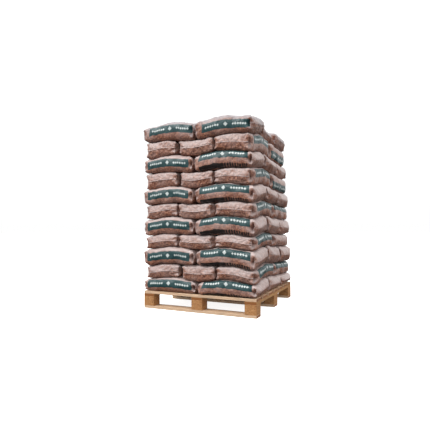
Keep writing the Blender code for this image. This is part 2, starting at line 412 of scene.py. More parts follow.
@dataclass(frozen=True)
class PelletFilm:
    """Blown polyethylene film, clear but milky, with wood pellets pressed against it from inside.

    The pellets give it a brown grain and a fine knobbly surface. The film gives it a satin sheen and
    pale milky patches, and film that faces up is painted paler, as a painted reflection of the bright sky.
    Green and black bands are printed on it.
    """

    pellet_light: str = "#be8469"
    pellet_dark: str = "#7d4b3c"
    shadow: str = "#43251e"
    # Pale colour of the milky patches and bare film, also used for the painted sky sheen on film that faces
    # up.
    haze_and_sheen: str = "#c6bab8"
    green: str = "#134043"
    black: str = "#100e0e"
    white: str = "#c6cfcd"
    pellet_size: float = 0.009
    patch_size: float = 0.12
    crease_size: float = 0.045
    crumple: float = 1.0
    middle_crumple: float = 0.25
    empty_haze: float = 0.15
    tuck_shade: float = 0.8
    roughness: float = 0.36
    bands: PrintedBands = PrintedBands()

    def make(self, name: str) -> Material:
        """Makes the film's material.

        Args:
            name: The material's name.

        Returns:
            The material.
        """
        material, tree = new_material(name)
        place = add_node(tree, "TexCoord", out="Object")
        sheet = add_node(tree, "UVMap", uv_map="sheet")
        along, girth, _ = add_node(tree, "SeparateXYZ", {"Vector": sheet}).node.outputs
        fold = add_node(tree, "Attribute", out="Fac", attribute_name="fold")
        film, knobs = self.filled_film(tree, place, fold)
        ink, faded = self.printed(tree, along, girth)
        film = add_node(tree, "Mix", {FACTOR: faded, UNDER: film, OVER: ink}, MIXED, data_type="RGBA")
        sheen = add_node(tree, "TexNoise", {"Vector": place, "Scale": 1 / self.patch_size, "Detail": 2.0})
        satin = {"Value": sheen, "To Min": self.roughness - 0.08, "To Max": self.roughness + 0.1}
        look = {"Base Color": film, "Roughness": add_node(tree, "MapRange", satin), "IOR": 1.51}
        look |= {"Specular IOR Level": 0.4, "Normal": self.surface(tree, place, along, knobs)}
        return coated(material, look)

    def filled_film(
        self, tree: NodeTree, place: NodeSocket, fold: NodeSocket
    ) -> tuple[NodeSocket, NodeSocket]:
        """Adds the look of pellets behind milky film, with painted sheen on top and painted shade in tucks.

        Args:
            tree: The material's tree.
            place: The surface's place in the frame.
            fold: 1 deep in a tuck, and -1 on an empty edge or weld.

        Returns:
            The colour, and the height of the pellets' knobs.
        """
        # Real pellets are 6 mm thick and 15 to 30 mm long. They are drawn as 9 mm knobs, the finest that
        # shows at this distance.
        pellets = add_node(tree, "TexVoronoi", {"Vector": place, "Scale": 1 / self.pellet_size})
        pick = add_node(tree, "SeparateColor", {"Color": pellets.node.outputs["Color"]}, "Red")
        limits = {"Value": pellets, "From Min": 0.35, "From Max": 0.8, "To Max": 0.55}
        between = add_node(tree, "MapRange", limits)
        patch = add_node(tree, "TexNoise", {"Vector": place, "Scale": 1 / self.patch_size, "Detail": 4.0})
        limits = {"Value": patch, "From Min": 0.35, "From Max": 0.7, "To Max": 0.22}
        milky = add_node(tree, "MapRange", limits)
        # Painted sky sheen: film that faces up is mixed towards the pale haze colour, as a reflection of the
        # bright sky painted in, and film that faces down is left darker.
        facing = add_node(tree, "NewGeometry", out="Normal")
        upward = add_node(tree, "SeparateXYZ", {"Vector": facing}, "Z")
        limits = {"Value": upward, "From Min": -0.3, "From Max": 0.7, "To Max": 0.62}
        painted_sky_sheen = add_node(tree, "MapRange", limits, interpolation_type="SMOOTHSTEP")
        haze_and_sheen = add_node(tree, "Math", {0: painted_sky_sheen, 1: milky}, operation="ADD")
        # Film with no pellets behind it is pale, and film deep in a tuck gets painted shade.
        empty = add_node(tree, "MapRange", {"Value": fold, "From Max": -1.0, "To Max": self.empty_haze})
        haze_and_sheen = add_node(tree, "Math", {0: haze_and_sheen, 1: empty}, operation="ADD", use_clamp=True)
        deep = add_node(tree, "MapRange", {"Value": fold, "To Max": self.tuck_shade})
        film = self.pellet_dark
        layers = ((pick, self.pellet_light), (between, self.shadow), (haze_and_sheen, self.haze_and_sheen), (deep, self.shadow))
        for share, colour in layers:
            film = add_node(tree, "Mix", {FACTOR: share, UNDER: film, OVER: colour}, MIXED, data_type="RGBA")
        return film, add_node(tree, "Math", {0: pellets, 1: -1.0}, operation="MULTIPLY")

    def printed(self, tree: NodeTree, along: NodeSocket, girth: NodeSocket) -> tuple[NodeSocket, NodeSocket]:
        """Adds the printed bands, with plain marks in the green one and bars in the black one.

        Args:
            tree: The material's tree.
            along: Distance along the sack, from its middle.
            girth: Distance round the sack, from the middle of the green band.

        Returns:
            The ink's colour, and how much of it covers the film.
        """
        bands = self.bands
        lower = add_node(tree, "Math", {0: girth, 1: bands.black_below}, operation="ADD")
        beside, above, below = (
            add_node(tree, "Math", {0: way}, operation="ABSOLUTE") for way in (along, girth, lower)
        )
        # A lozenge in the middle, and a row of small ones on each side.
        from_mark = add_node(tree, "Math", {0: along, 1: bands.mark_pitch / 2}, operation="PINGPONG")
        large, small = (
            add_node(tree, "Math", {0: way, 1: above}, operation="ADD") for way in (beside, from_mark)
        )
        masks = []
        for value, reach in (
            (beside, bands.half_length),
            (above, bands.green_half_height),
            (below, bands.black_half_height),
            (large, bands.middle_mark),
            (small, bands.mark_radius),
        ):
            limits = {"From Min": reach - bands.edge, "From Max": reach + bands.edge}
            masks.append(add_node(tree, "MapRange", {"Value": value, "To Min": 1.0, "To Max": 0.0} | limits))
        in_length, in_green, in_black, in_large, in_small = masks
        row_middle, row_half = (bands.row_from + bands.row_to) / 2, (bands.row_to - bands.row_from) / 2
        past = add_node(tree, "Math", {0: beside, 1: row_middle}, operation="SUBTRACT")
        from_row = add_node(tree, "Math", {0: past}, operation="ABSOLUTE")
        in_row = add_node(tree, "Math", {0: from_row, 1: row_half}, operation="LESS_THAN")
        row = add_node(tree, "Math", {0: in_small, 1: in_row}, operation="MULTIPLY")
        white = add_node(tree, "Math", {0: in_large, 1: row}, operation="MAXIMUM")
        layer = {FACTOR: white, UNDER: self.green, OVER: self.white}
        green = add_node(tree, "Mix", layer, MIXED, data_type="RGBA")
        layer = {FACTOR: in_green, UNDER: self.black, OVER: green}
        ink = add_node(tree, "Mix", layer, MIXED, data_type="RGBA")

        # The black band breaks into plain bars on its right half.
        bar = add_node(tree, "Math", {0: along, 1: bands.bar_pitch / 2}, operation="PINGPONG")
        half_bar = bands.bar_pitch * bands.bar_share / 2
        gap = add_node(tree, "Math", {0: bar, 1: half_bar}, operation="GREATER_THAN")
        right = add_node(tree, "Math", {0: along, 1: bands.bars_from}, operation="GREATER_THAN")
        cut = add_node(tree, "Math", {0: gap, 1: right}, operation="MULTIPLY")
        kept = add_node(tree, "MapRange", {"Value": cut, "To Min": 1.0, "To Max": bands.ink_between_bars})
        in_black = add_node(tree, "Math", {0: in_black, 1: kept}, operation="MULTIPLY")
        inked = in_green
        if bands.has_black:
            inked = add_node(tree, "Math", {0: in_green, 1: in_black}, operation="MAXIMUM")
        for share in (in_length, bands.cover):
            inked = add_node(tree, "Math", {0: inked, 1: share}, operation="MULTIPLY")
        return ink, inked

    def surface(self, tree: NodeTree, place: NodeSocket, along: NodeSocket, knobs: NodeSocket) -> NodeSocket:
        """Adds the film's knobs and creases.

        Args:
            tree: The material's tree.
            place: The surface's place in the frame.
            along: Distance along the sack, from its middle.
            knobs: Height of the pellets' knobs.

        Returns:
            The normal.
        """
        beside = add_node(tree, "Math", {0: along}, operation="ABSOLUTE")
        run = {"From Min": 0.15, "From Max": 0.27, "To Min": self.middle_crumple, "To Max": self.crumple}
        near_end = add_node(tree, "MapRange", {"Value": beside} | run, interpolation_type="SMOOTHSTEP")
        slow = {"Vector": place, "Scale": 0.8 / self.crease_size, "Detail": 2.0}
        twist = add_node(tree, "TexNoise", slow, "Color")
        bent = add_node(tree, "VectorMath", {0: twist, 1: (0.05,) * 3, 2: place}, operation="MULTIPLY_ADD")
        cells = {"Vector": bent, "Scale": 1 / self.crease_size}
        folds = add_node(tree, "TexVoronoi", cells, feature="DISTANCE_TO_EDGE")
        limits = {"Value": folds, "From Max": 0.35}
        crease = add_node(tree, "MapRange", limits, interpolation_type="SMOOTHSTEP")
        height = add_node(tree, "Math", {0: crease, 1: near_end}, operation="MULTIPLY")
        creased = add_node(tree, "Bump", {"Height": height, "Strength": 0.7, "Distance": 0.006})
        knobbly = {"Height": knobs, "Strength": 0.55, "Distance": 0.0022, "Normal": creased}
        return add_node(tree, "Bump", knobbly)


@dataclass(frozen=True)
class WhiteBoard:
    """Matt white painted studio floor: pale and even, without gloss."""

    colour: str = "#f7f6f4"
    roughness: float = 0.9
    glow: float = 0.85

    def make(self, name: str) -> Material:
        """Makes the floor's material.

        Args:
            name: The material's name.

        Returns:
            The material.
        """
        glow = {"Emission Color": "#ffffff", "Emission Strength": self.glow}
        material, _ = new_material(name)
        return coated(material, {"Base Color": self.colour, "Roughness": self.roughness} | glow)


# Pallet


@dataclass
class Pallet:
    """The wooden block pallet: its solids' finishes, and the nails that hold it together."""

    pine: SawnPine = field(default_factory=SawnPine)
    # A darker copy of the pine for the stringers: painted shade for their sides, which face away from the
    # lamp and lie under the deck.
    shaded_pine: SawnPine = SawnPine(light="#c5965f", dark="#94643a", grey="#8c6e50")
    chip: PressedChipBlock = field(default_factory=PressedChipBlock)
    steel: BrightSteel = field(default_factory=BrightSteel)
    nail_diameter: float = 0.009
    nail_height: float = 0.0008
    nail_taper: float = 0.8
    deck_sink: float = 0.4
    runner_sink: float = 0.6
    nail_inset: float = 0.026
    columns: tuple[str, ...] = ("left", "middle", "right")
    rows: tuple[str, ...] = ("front", "middle", "back")
    deck_boards: int = 7

    def dress(self) -> None:
        """Gives each board and block its own cut of wood."""
        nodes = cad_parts
        boards = [(f"deck_board_{index + 1}", Grain.ALONG_X) for index in range(self.deck_boards)]
        boards += [(f"runner_{row}", Grain.ALONG_X) for row in self.rows]
        boards += [(f"stringer_{column}", Grain.ALONG_Y) for column in self.columns]
        for seed, (name, grain) in enumerate(boards):
            # The stringers take the darker copy of the pine, as painted shade.
            pine = self.shaded_pine if grain is Grain.ALONG_Y else self.pine
            self.finish(nodes[name], pine.make(f"pine_{name}", grain, seed), "board_wood")
        blocks = [f"block_{row}_{column}" for row in self.rows for column in self.columns]
        for seed, name in enumerate(blocks):
            self.finish(nodes[name], self.chip.make(f"chip_{name}", seed), "block_wood")
        LOG.info("pallet: %d boards and %d blocks", len(boards), len(blocks))

    def finish(self, node: Object, material: Material, slot: str) -> None:
        """Puts one material on a solid.

        Args:
            node: The solid's object.
            material: Its finish.
            slot: Not used.
        """
        for place in node.material_slots:
            place.material = material

    def nail_places(self) -> tuple[list[Vector], list[Vector]]:
        """Finds where the nails go.

        Returns:
            Places on top of the deck, and places under the runners.
        """
        above, below = [], []
        for column in self.columns:
            low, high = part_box(f"stringer_{column}")
            across = (low.x + self.nail_inset, high.x - self.nail_inset)
            for index in range(self.deck_boards):
                board_low, board_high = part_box(f"deck_board_{index + 1}")
                deep = (board_low.y + self.nail_inset, board_high.y - self.nail_inset)
                above += [Vector((x, y, board_high.z)) for x, y in zip(across, deep, strict=True)]
            for row in self.rows:
                runner_low, runner_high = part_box(f"runner_{row}")
                deep = (runner_low.y + self.nail_inset, runner_high.y - self.nail_inset)
                below += [Vector((x, y, runner_low.z)) for x, y in itertools.product(across, deep)]
        return above, below

    def nail_tree(self, material: Material) -> NodeTree:
        """Builds the geometry nodes that set one nail head on each point.

        Args:
            material: The nails' finish.

        Returns:
            The node tree, with inputs for the heads' size.
        """
        tree = bpy.data.node_groups.new("nail_heads", "GeometryNodeTree")
        for way, name, kind in (
            ("INPUT", "Geometry", "NodeSocketGeometry"),
            ("INPUT", "Head Radius", "NodeSocketFloat"),
            ("INPUT", "Head Height", "NodeSocketFloat"),
            ("OUTPUT", "Geometry", "NodeSocketGeometry"),
        ):
            tree.interface.new_socket(name, in_out=way, socket_type=kind)
        given = add_node(tree, "NodeGroupInput").node.outputs
        narrower = add_node(tree, "Math", {0: given["Head Radius"], 1: self.nail_taper}, operation="MULTIPLY")
        size = {"Radius Top": narrower, "Radius Bottom": given["Head Radius"], "Depth": given["Head Height"]}
        head = add_node(tree, "GeometryNodeMeshCone", {"Vertices": 10} | size)
        # Each head is hit a little askew.
        askew = {"Min": (-0.08, -0.08, 0.0), "Max": (0.08, 0.08, 6.28), "Seed": 4}
        turn = add_node(tree, "FunctionNodeRandomValue", askew, data_type="FLOAT_VECTOR")
        places = {"Points": given["Geometry"], "Instance": head, "Rotation": turn}
        heads = add_node(tree, "GeometryNodeInstanceOnPoints", places)
        real = add_node(tree, "GeometryNodeRealizeInstances", {"Geometry": heads})
        dressed = add_node(tree, "GeometryNodeSetMaterial", {"Geometry": real, "Material": material})
        add_node(tree, "NodeGroupOutput", {"Geometry": dressed})
        return tree

    def build_nails(self) -> None:
        """Makes the nail heads on the deck and under the runners, as one piece."""
        material = self.steel.make("nail_steel")
        above, below = self.nail_places()
        # The heads on the deck are driven in by less than half. Those under the runners are sunk into the
        # wood, so that the pallet stands on its boards.
        points = [place - Vector((0.0, 0.0, self.nail_height * self.deck_sink)) for place in above]
        points += [place + Vector((0.0, 0.0, self.nail_height * self.runner_sink)) for place in below]
        holder = add_object("nail_points", new_mesh("nail_points", points, []))
        modifier = holder.modifiers.new("nail_heads", "NODES")
        modifier.node_group = self.nail_tree(material)
        sizes = {"Head Radius": self.nail_diameter / 2, "Head Height": self.nail_height}
        for item in modifier.node_group.interface.items_tree:
            if item.name in sizes:
                modifier[item.identifier] = sizes[item.name]
        graph = bpy.context.evaluated_depsgraph_get()
        heads = bpy.data.meshes.new_from_object(holder.evaluated_get(graph))
        bpy.data.objects.remove(holder)
        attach(add_piece("nail_heads", heads, material), BODY)
        LOG.info("nail_heads: %d heads", len(points))


# Sacks


@dataclass(frozen=True)
class Shell:
    """The surface of a box, laid out as a closed grid of four-sided faces.

    Shares run from -1 to 1 between each pair of faces. Panels are numbered top, bottom, right, left,
    near and far, which is the order of the faces too.
    """

    shares: np.ndarray
    faces: np.ndarray
    panels: np.ndarray
    numbers: np.ndarray

    @classmethod
    def make(cls, columns: int, rows: int, levels: int, bunching: float = 1.0) -> Shell:
        """Numbers the grid's points and lists its faces, pointing outwards.

        Args:
            columns: Cells from left to right.
            rows: Cells from near to far.
            levels: Cells from bottom to top.
            bunching: Above 1, how much closer the columns lie near the left and right faces.

        Returns:
            The shell.
        """
        i, j, k = np.meshgrid(range(columns + 1), range(rows + 1), range(levels + 1), indexing="ij")
        outside = (i % columns == 0) | (j % rows == 0) | (k % levels == 0)
        numbers = np.full(i.shape, -1)
        numbers[outside] = np.arange(outside.sum())
        shares = np.stack((2 * i / columns - 1, 2 * j / rows - 1, 2 * k / levels - 1), -1)[outside]
        shares[:, 0] = np.sign(shares[:, 0]) * (1 - (1 - np.abs(shares[:, 0])) ** bunching)
        panels = (
            (numbers[:, :, -1], False),
            (numbers[:, :, 0], True),
            (numbers[-1], False),
            (numbers[0], True),
            (numbers[:, 0], False),
            (numbers[:, -1], True),
        )
        faces, labels = [], []
        for label, (grid, turned) in enumerate(panels):
            corners = (grid[:-1, :-1], grid[1:, :-1], grid[1:, 1:], grid[:-1, 1:])
            cells = np.stack(corners, axis=-1).reshape(-1, 4)
            faces.append(cells[:, ::-1] if turned else cells)
            labels.append(np.full(len(cells), label))
        return cls(shares, np.concatenate(faces), np.concatenate(labels), numbers)


@dataclass(frozen=True)
class FilmSack:
    """One sack of gusseted film tube: broad panels, long sides, and ends folded to a weld at mid-height.

    Its long axis is X, and positive X and Y are the end and side that face out of the load.
    """

    length: float = 0.500
    width: float = 0.333
    height: float = 0.125
    columns: int = 50
    rows: int = 34
    levels: int = 12
    bunching: float = 1.3
    long_edge_radius: float = 0.028
    end_edge_radius: float = 0.017
    corner_radius: float = 0.007
    gather_from: float = 0.72
    gather_run: float = 0.28
    weld_root: float = 0.002
    weld_thickness: float = 0.0012
    weld_slope: float = 1.48
    weld_waves: float = 0.03
    weld_wavelength: float = 0.14

    def shell(self) -> Shell:
        """Lays out the filled sack's surface."""
        return Shell.make(self.columns, self.rows, self.levels, self.bunching)

    def block(self, scale: tuple[float, float, float], gather: float) -> np.ndarray:
        """Makes the sack's surface as a block with rounded edges.

        Args:
            scale: Size against the full sack's, along each axis.
            gather: How much wider than the block the film is at its ends.

        Returns:
            The points of its shell.
        """
        shares = self.shell().shares
        half = np.array((self.length, self.width, self.height)) * scale / 2
        points = shares * half
        for (i, j), radius in (
            ((1, 2), self.long_edge_radius),
            ((0, 2), self.end_edge_radius),
            ((0, 1), self.corner_radius),
        ):
            core = np.clip(points, radius - half, half - radius)
            across, up = points[:, i] - core[:, i], points[:, j] - core[:, j]
            reach = np.maximum(np.hypot(across, up), 1e-9)
            rounded = np.where((across != 0) & (up != 0), np.maximum(np.abs(across), np.abs(up)) / reach, 1.0)
            points[:, i], points[:, j] = core[:, i] + across * rounded, core[:, j] + up * rounded
        near_end = np.clip((np.abs(shares[:, 0]) - self.gather_from) / self.gather_run, 0, 1) ** 2
        points[:, 1:] *= 1 + gather * near_end[:, None]
        return points

    def film_places(self, points: np.ndarray) -> np.ndarray:
        """Finds where each corner of each face lies on the flat film, which doesn't stretch.

        Args:
            points: The points of the sack where it lies in the load.

        Returns:
            For each corner, the distance along the sack from its middle, and the distance round it from the
            middle of its outer side.
        """
        shell = self.shell()
        middle = self.levels // 2
        round_it = np.zeros((2, len(points)))
        for half, (edge, step) in enumerate(((0, -1), (self.levels, 1))):
            rising = list(range(middle, edge + step, step))
            rows = [self.rows] * len(rising) + list(range(self.rows - 1, 0, -1)) + [0] * len(rising)
            levels = rising + [edge] * (self.rows - 1) + rising[::-1]
            ring = shell.numbers[:, rows, levels]
            lengths = np.linalg.norm(np.diff(points[ring], axis=1), axis=2)
            round_it[half][ring[:, 1:]] = step * np.cumsum(lengths, axis=1)
        a, b, c = np.moveaxis(shell.shares[shell.faces], -1, 0)
        above = (c.mean(axis=1) > 0)[:, None]
        girth = np.where(above, round_it[1][shell.faces], round_it[0][shell.faces])
        at_end = ((shell.panels == 2) | (shell.panels == 3))[:, None]
        over = np.where(above, 1.0, -1.0) * (self.height / 2 + (1 - b) * self.width / 2)
        past_end = np.sign(a) * (self.length / 2 + (1 - np.abs(c)) * self.height / 2)
        return np.stack((np.where(at_end, past_end, a * self.length / 2), np.where(at_end, over, girth)), -1)

    def welds(self, points: np.ndarray, depth: float, seed: int) -> list[tuple[np.ndarray, ...]]:
        """Makes the flat weld strip that hangs down each end.

        Args:
            points: The filled sack's points.
            depth: How far the strips hang.
            seed: Picks how the strips lie.

        Returns:
            For each end, the strip's points, faces and places on the film.
        """
        shares = self.shell().shares
        strip = Shell.make(2, self.rows, 1)
        depth += self.weld_root
        strips = []
        for side in (-1, 1):
            line = points[(shares[:, 0] == side) & (np.abs(shares[:, 2]) < 1e-6)]
            hang = self.weld_slope + self.weld_waves * ripple(line, seed + side, self.weld_wavelength)
            way = np.stack((side * np.cos(hang), 0 * hang, -np.sin(hang)), -1)
            up = np.stack((side * np.sin(hang), 0 * hang, np.cos(hang)), -1)
            row = np.rint((strip.shares[:, 1] + 1) / 2 * self.rows).astype(int)
            out = (strip.shares[:, 0] + 1) / 2 * depth - self.weld_root
            thick = strip.shares[:, 2] * self.weld_thickness / 2
            made = line[row] + way[row] * out[:, None] + up[row] * thick[:, None]
            faces = strip.faces if side > 0 else strip.faces[:, ::-1]
            along = side * ((self.length + self.height) / 2 + 0.001 + np.clip(out, 0, None))
            girth = self.height / 2 + (1 - strip.shares[:, 1]) * self.width / 2
            strips.append((made, faces, np.stack((along, girth), -1)[faces]))
        return strips


@dataclass(frozen=True)
class Fill:
    """How full and how stiff one of the simulated sacks is."""

    seed: int
    excess: float
    gather: float
    pressure: float
    compression: float
    bending: float
    unevenness: float


@dataclass(frozen=True)
class SackPress:
    """Walls round one sack's place, as its neighbours, the layer below and the layer above make them."""

    inner_end: float = -0.250
    outer_end: float = 0.262
    inner_side: float = -0.1665
    outer_side: float = 0.178
    half_height: float = 0.0625
    film_gap: float = 0.004
    clearance: float = 0.002
    start_scale: tuple[float, float, float] = (0.965, 0.955, 0.93)
    waves: tuple[tuple[float, float], ...] = ((0.12, 1.0), (0.05, 0.6), (0.03, 0.5))
    wall: float = 0.1
    reach: float = 1.0
    spacing: float = 3.0
    frames: int = 40

    def add_wall(self, low: Vector, high: Vector, home: Collection) -> Object:
        """Adds one wall.

        Args:
            low: Its lowest corner.
            high: Its highest corner.
            home: The collection of this sack's walls.

        Returns:
            The wall.
        """
        corners = [Vector(corner) for corner in itertools.product(*zip(low, high, strict=True))]
        sides = ((0, 1, 3, 2), (4, 6, 7, 5), (0, 4, 5, 1), (2, 3, 7, 6), (0, 2, 6, 4), (1, 5, 7, 3))
        wall = add_object("press_wall", new_mesh("press_wall", corners, sides), home)
        wall.modifiers.new("wall", "COLLISION")
        configure(wall.collision, thickness_outer=self.clearance, damping=0.5, cloth_friction=5)
        return wall

    def add_walls(self, offset: float, home: Collection) -> list[Object]:
        """Adds the six walls of one sack's place.

        Args:
            offset: Where along Y the place is.
            home: The collection of this sack's walls.

        Returns:
            The walls.
        """
        limits = (
            (0, self.inner_end, -1),
            (0, self.outer_end, 1),
            (1, self.inner_side, -1),
            (1, self.outer_side, 1),
            (2, -self.half_height, -1),
            (2, self.half_height, 1),
        )
        walls = []
        for axis, place, side in limits:
            low, high = Vector((-self.reach / 2,) * 3), Vector((self.reach / 2,) * 3)
            low[axis], high[axis] = sorted((place, place + side * self.wall))
            low.y, high.y = low.y + offset, high.y + offset
            walls.append(self.add_wall(low, high, home))
        return walls

    def add_sack(self, sack: FilmSack, fill: Fill, offset: float, walls: Collection) -> Object:
        """Adds one sack of film as cloth, to be blown up between its walls.

        Args:
            sack: The sack.
            fill: How it is filled.
            offset: Where along Y its place is.
            walls: The collection of its walls.

        Returns:
            The cloth.
        """
        film = sack.block((1 + fill.excess / 2, 1 + fill.excess, 1 + fill.excess), fill.gather)
        start = sack.block(self.start_scale, 0.0)
        for axis in range(3):
            for order, (wavelength, size) in enumerate(self.waves):
                noise = ripple(start, 100 * fill.seed + 10 * axis + order, wavelength)
                start[:, axis] += fill.unevenness * size * noise
        shift = (0.0, offset, 0.0)
        mesh = new_mesh("film", (start + shift).tolist(), sack.shell().faces.tolist())
        cloth = add_object("film", mesh)
        cloth.shape_key_add(name="slack")
        rest = cloth.shape_key_add(name="cut")
        rest.data.foreach_set("co", (film + shift).astype(np.float32).ravel())
        modifier = cloth.modifiers.new("film", "CLOTH")
        configure(
            modifier.settings,
            rest_shape_key=rest,
            quality=6,
            mass=0.15,
            tension_stiffness=60,
            compression_stiffness=fill.compression,
            shear_stiffness=20,
            bending_stiffness=fill.bending,
            tension_damping=10,
            compression_damping=10,
            shear_damping=10,
            bending_damping=1,
            air_damping=2,
            use_pressure=True,
            uniform_pressure_force=fill.pressure,
        )
        modifier.settings.effector_weights.gravity = 0
        configure(
            modifier.collision_settings,
            use_collision=True,
            distance_min=self.clearance,
            collision_quality=3,
            use_self_collision=False,
            collection=walls,
        )
        configure(modifier.point_cache, frame_start=1, frame_end=self.frames)
        return cloth

    def run(self, sack: FilmSack, fills: tuple[Fill, ...]) -> list[np.ndarray]:
        """Blows up all the sacks at once, each between its own walls.

        Args:
            sack: The sack.
            fills: How each one is filled.

        Returns:
            The points of their pressed surfaces.
        """
        scene = bpy.context.scene
        cloths, walls, homes = [], [], []
        for number, fill in enumerate(fills):
            home = bpy.data.collections.new(f"walls_{number}")
            scene.collection.children.link(home)
            walls += self.add_walls(number * self.spacing, home)
            cloths.append(self.add_sack(sack, fill, number * self.spacing, home))
            homes.append(home)
        scene.frame_start, scene.frame_end = 1, self.frames
        for at in range(1, self.frames + 1):
            scene.frame_set(at)
        graph = bpy.context.evaluated_depsgraph_get()
        pressed = []
        for number, cloth in enumerate(cloths):
            vertices = cloth.evaluated_get(graph).data.vertices
            points = np.zeros(len(vertices) * 3)
            vertices.foreach_get("co", points)
            pressed.append(points.reshape(-1, 3) - (0.0, number * self.spacing, 0.0))
        for thing in (*cloths, *walls):
            bpy.data.objects.remove(thing)
        for home in homes:
            bpy.data.collections.remove(home)
        scene.frame_set(1)
        return pressed

    def limits(self) -> tuple[np.ndarray, np.ndarray]:
        """Finds how far a sack's film reaches between its walls.

        Returns:
            The lowest and the highest corner.
        """
        gap = self.film_gap
        low = np.array((self.inner_end + gap, self.inner_side + gap, gap - self.half_height))
        high = np.array((self.outer_end - gap, self.outer_side - gap, self.half_height - gap))
        return low, high

    def shares(self, points: np.ndarray) -> np.ndarray:
        """Measures where points lie between the walls that a sack fills.

        Args:
            points: Points of a pressed sack.

        Returns:
            Their places, from -1 to 1 between each pair of walls.
        """
        low, high = self.limits()
        return (2 * points - low - high) / (high - low)


class Lay(Enum):
    """The way a layer's sacks lie."""

    LENGTHWISE = "long sides to the front"
    CROSSWISE = "ends to the front"


@dataclass(frozen=True)
class Shaping:
    """How the sacks of layers that lie one way are shaped at their ends and corners.

    The corners' sharpness is seen from above, from the long side and from the end. The shoulders are how far
    the film drops towards the ends and towards the long sides.
    """

    corner_sharpness: tuple[float, float, float]
    crispness: float
    gable: float
    weld_depth: float
    shoulders: tuple[float, float]
    corner_fold: float


@dataclass(frozen=True)
class Contact:
    """The surface where two layers meet, crowned over each sack and rising towards the right side."""

    left: float
    right: float
    front: float
    back: float
    top: float
    fall: tuple[tuple[float, float], ...]
    rise: tuple[tuple[float, float], ...]
    left_share: float
    seed: int
    wobble: float
    wavelength: float = 0.28

    def height(self, x: np.ndarray, y: np.ndarray) -> np.ndarray:
        """Reads the surface's height.

        Args:
            x: Places along the front.
            y: Places towards the back.

        Returns:
            The height at each place.
        """
        u = np.clip((x - self.left) / (self.right - self.left), 0.0, 1.0)
        v = np.clip((y - self.front) / (self.back - self.front), 0.0, 1.0)
        share = self.left_share + (1 - self.left_share) * u
        uneven = self.wobble * ripple(np.stack((x, y), -1), self.seed, self.wavelength)
        return self.top + eased(self.fall, u) + share * eased(self.rise, v) + uneven


@dataclass(frozen=True)
class Slot:
    """One sack's place in its layer, seen from above."""

    name: str
    lay: Lay
    low: tuple[float, float]
    high: tuple[float, float]
    outer_end: int
    outer_side: int
    roll: float
    crown: float = 0.0
    sunk: float = 0.0
    seed: int = 0
    free_side: bool = True
    slide: float = 0.0
    shows_black: bool = False


